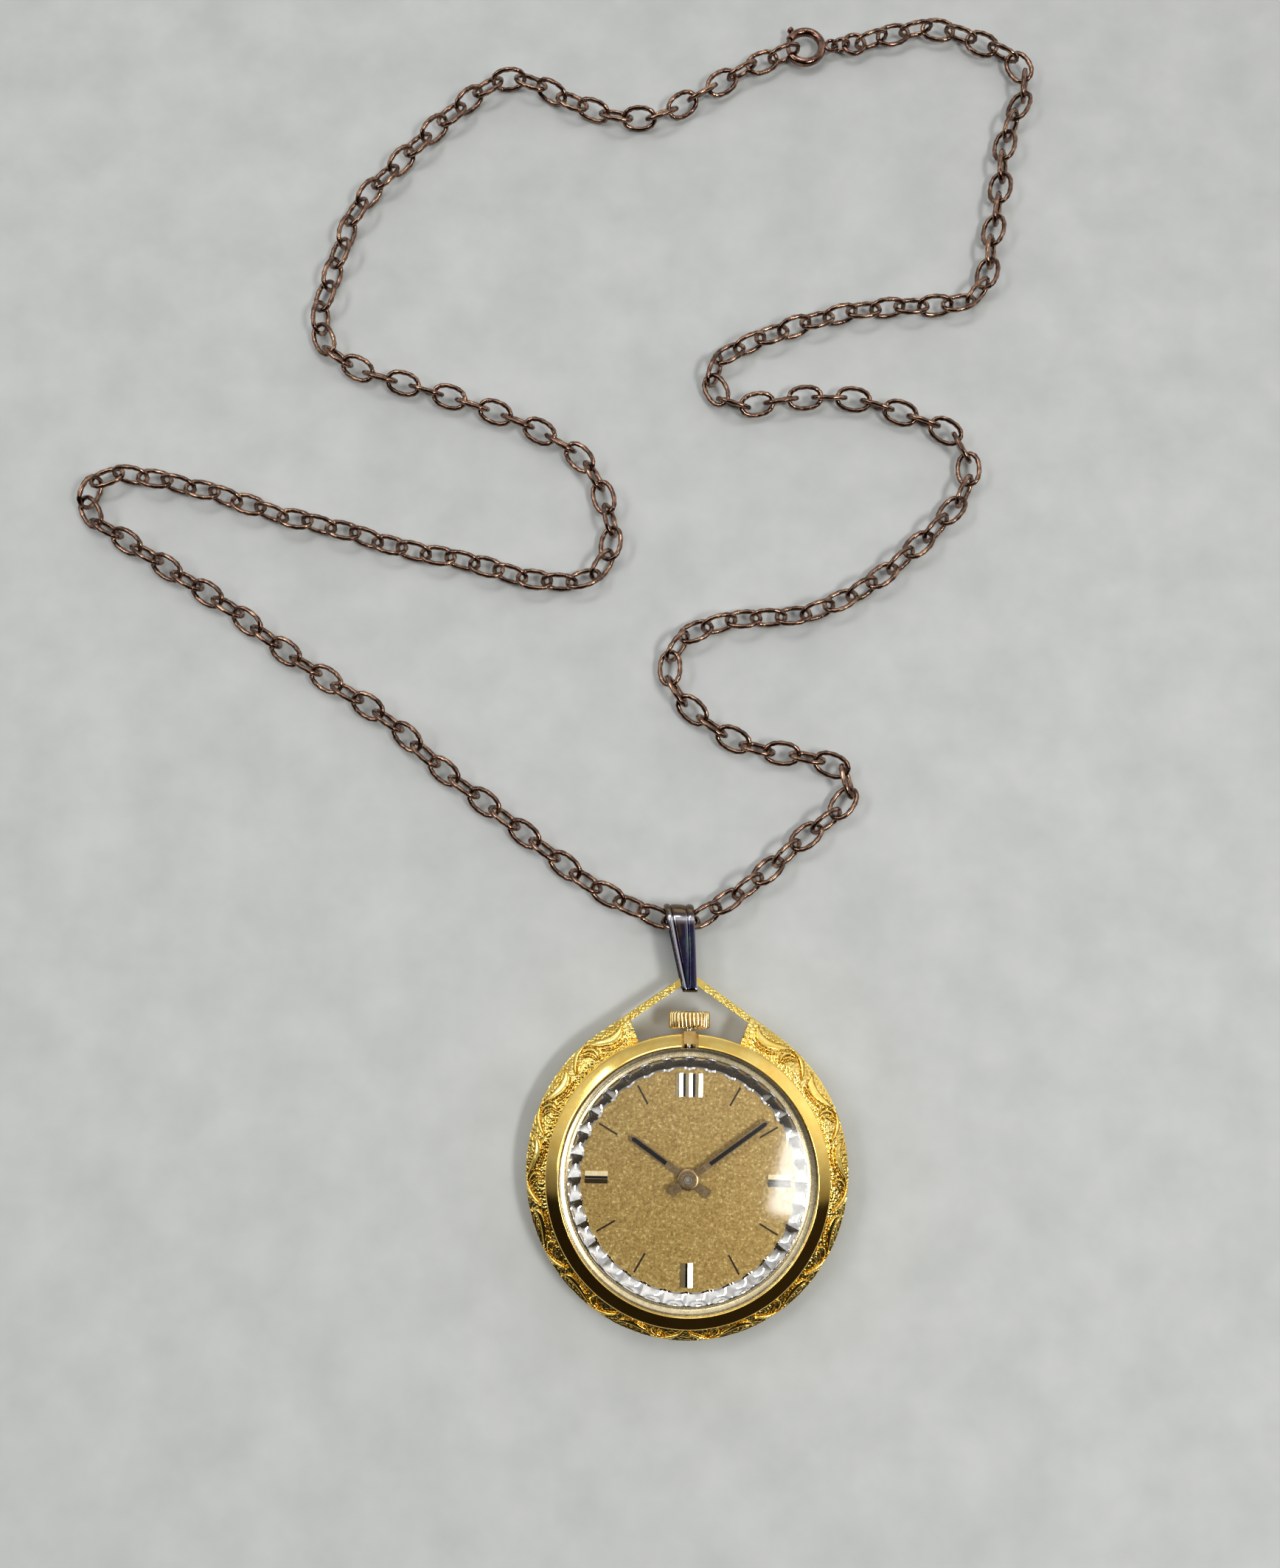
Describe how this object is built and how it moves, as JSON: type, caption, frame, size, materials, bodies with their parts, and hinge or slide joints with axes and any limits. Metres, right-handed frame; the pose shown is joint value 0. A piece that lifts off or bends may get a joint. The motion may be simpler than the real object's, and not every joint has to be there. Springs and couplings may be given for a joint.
{
  "type": "pendant watch",
  "caption": "Round hand-wound pendant watch in an engraved teardrop frame, hung by a tapered bail from a link chain with a spring-ring clasp.",
  "frame": {"origin": "middle of the case back's flat outer face, on the table", "axes": "+Z out of the dial towards the viewer, +Y towards 12 o'clock, the crown and the bail, +X towards 3 o'clock"},
  "size_m": [0.1183, 0.163, 0.008],
  "materials": {
    "frame_gold": "engraved gold plate",
    "bezel_gold": "mirror-polished gold plate",
    "case_gold": "satin gold plate",
    "back_steel": "brushed",
    "crystal": "clear acrylic",
    "reflector_chrome": "diamond-cut mirror facets",
    "dial_gold": "fine-grained champagne lacquer",
    "marker_gold": "polished",
    "hand_bronze": "bronze gilt with black inlay",
    "gasket_rubber": "matte",
    "movement_brass": "satin",
    "movement_steel": "satin",
    "bail_gunmetal": "blued, polished and tarnished",
    "chain_copper": "tarnished copper plate",
    "clasp_copper": "tarnished copper plate"
  },
  "bodies": {
    "watch": {"case_back": "back_steel", "case_body": "case_gold", "bezel": "bezel_gold", "ornate_frame": "frame_gold", "stem_tube": "case_gold", "crystal": "crystal", "rim_ring": "case_gold", "reflector_ring": "reflector_chrome", "dial": "dial_gold", "hour_markers": "marker_gold", "movement_ring": "movement_brass", "main_plate": "movement_brass", "barrel_bridge": "movement_brass", "train_bridge": "movement_brass", "balance_cock": "movement_brass", "bridge_screws": "movement_steel", "hairspring": "movement_steel"},
    "minute_group": {"minute_hand": "hand_bronze", "cannon_pinion": "movement_steel", "centre_wheel": "movement_brass"},
    "minute_wheel_body": {"minute_wheel": "movement_brass"},
    "hour_group": {"hour_hand": "hand_bronze", "hour_wheel": "movement_brass"},
    "barrel_body": {"barrel": "movement_brass"},
    "third_body": {"third_wheel": "movement_brass"},
    "fourth_body": {"fourth_wheel": "movement_brass"},
    "escape_body": {"escape_wheel": "movement_steel"},
    "fork_body": {"pallet_fork": "movement_steel"},
    "balance_body": {"balance_wheel": "movement_brass"},
    "crown_slide_body": {"crown_gasket": "gasket_rubber"},
    "crown_body": {"crown": "bezel_gold", "winding_stem": "movement_steel"},
    "winding_pinion_body": {"winding_pinion": "movement_steel"},
    "clutch_body": {"clutch_wheel": "movement_steel"},
    "crown_wheel_body": {"crown_wheel": "movement_steel"},
    "ratchet_body": {"ratchet_wheel": "movement_steel"},
    "bail_body": {"bail": "bail_gunmetal"},
    "chain_body": {"bail_link": "chain_copper", "chain_left": "chain_copper", "chain_right": "chain_copper", "clasp_ring": "clasp_copper", "clasp_connector": "clasp_copper", "jump_ring": "clasp_copper"},
    "slider_body": {"clasp_slider": "clasp_copper"}
  },
  "joints": [
    {"name": "minute_turn", "type": "hinge", "parent": "watch", "child": "minute_group", "pos_m": [0, 0, 0.0029], "axis": [0, 0, 1], "continuous": true},
    {"name": "minute_wheel_turn", "type": "hinge", "parent": "watch", "child": "minute_wheel_body", "pos_m": [-0.001, 0.00173, 0.0042], "axis": [0, 0, 1], "continuous": true},
    {"name": "hour_turn", "type": "hinge", "parent": "watch", "child": "hour_group", "pos_m": [0, 0, 0.0042], "axis": [0, 0, 1], "continuous": true},
    {"name": "barrel_turn", "type": "hinge", "parent": "watch", "child": "barrel_body", "pos_m": [0.00321, 0.0043, 0.0029], "axis": [0, 0, 1], "continuous": true},
    {"name": "third_turn", "type": "hinge", "parent": "watch", "child": "third_body", "pos_m": [-0.00254, -0.00092, 0.0029], "axis": [0, 0, 1], "continuous": true},
    {"name": "fourth_turn", "type": "hinge", "parent": "watch", "child": "fourth_body", "pos_m": [-0.00298, -0.00344, 0.0029], "axis": [0, 0, 1], "continuous": true},
    {"name": "escape_turn", "type": "hinge", "parent": "watch", "child": "escape_body", "pos_m": [-0.00079, -0.0047, 0.0029], "axis": [0, 0, 1], "continuous": true},
    {"name": "fork_rock", "type": "hinge", "parent": "watch", "child": "fork_body", "pos_m": [0.00109, -0.00538, 0.0029], "axis": [0, 0, 1], "range_deg": [-6, 6]},
    {"name": "balance_swing", "type": "hinge", "parent": "watch", "child": "balance_body", "pos_m": [0.0038, -0.00491, 0.0029], "axis": [0, 0, 1], "range_deg": [-270, 270]},
    {"name": "crown_pull", "type": "slide", "parent": "watch", "child": "crown_slide_body", "axis": [0, 1, 0], "range_m": [0, 0.0007]},
    {"name": "crown_turn", "type": "hinge", "parent": "crown_slide_body", "child": "crown_body", "pos_m": [0, 0.01595, 0.0026], "axis": [0, 1, 0], "continuous": true},
    {"name": "winding_pinion_turn", "type": "hinge", "parent": "watch", "child": "winding_pinion_body", "pos_m": [0, 0.00925, 0.0026], "axis": [0, 1, 0], "continuous": true},
    {"name": "clutch_turn", "type": "hinge", "parent": "watch", "child": "clutch_body", "pos_m": [0, 0.0084, 0.0026], "axis": [0, 1, 0], "continuous": true},
    {"name": "crown_wheel_turn", "type": "hinge", "parent": "watch", "child": "crown_wheel_body", "pos_m": [0, 0.0076, 0.00155], "axis": [0, 0, 1], "continuous": true},
    {"name": "ratchet_turn", "type": "hinge", "parent": "watch", "child": "ratchet_body", "pos_m": [0.00321, 0.0043, 0.00155], "axis": [0, 0, 1], "continuous": true},
    {"name": "bail_swing", "type": "hinge", "parent": "watch", "child": "bail_body", "pos_m": [0, 0.0216, 0.0027], "axis": [1, 0, 0], "range_deg": [-90, 90]},
    {"name": "chain_hang", "type": "hinge", "parent": "bail_body", "child": "chain_body", "pos_m": [-0.00112, 0.02788, 0.00215], "axis": [1, 0, 0], "range_deg": [-90, 90]},
    {"name": "clasp_trigger", "type": "hinge", "parent": "chain_body", "child": "slider_body", "pos_m": [0.01327, 0.14126, 0.00127], "axis": [0, 0, -1], "range_deg": [0, 38], "stiffness_Nm_per_rad": 0.00002, "springref_deg": -17.19}
  ],
  "couplings": [
    {"joint": "minute_wheel_turn", "follows": "minute_turn", "ratio": -0.33333},
    {"joint": "hour_turn", "follows": "minute_turn", "ratio": 0.083333},
    {"joint": "barrel_turn", "follows": "minute_turn", "ratio": -0.16667},
    {"joint": "third_turn", "follows": "minute_turn", "ratio": -8},
    {"joint": "fourth_turn", "follows": "minute_turn", "ratio": 60},
    {"joint": "escape_turn", "follows": "minute_turn", "ratio": -600},
    {"joint": "winding_pinion_turn", "follows": "crown_turn", "ratio": 1},
    {"joint": "clutch_turn", "follows": "crown_turn", "ratio": 1},
    {"joint": "crown_wheel_turn", "follows": "crown_turn", "ratio": 0.5},
    {"joint": "ratchet_turn", "follows": "crown_turn", "ratio": -0.33333},
    {"joint": "chain_hang", "follows": "bail_swing", "ratio": -1}
  ]
}
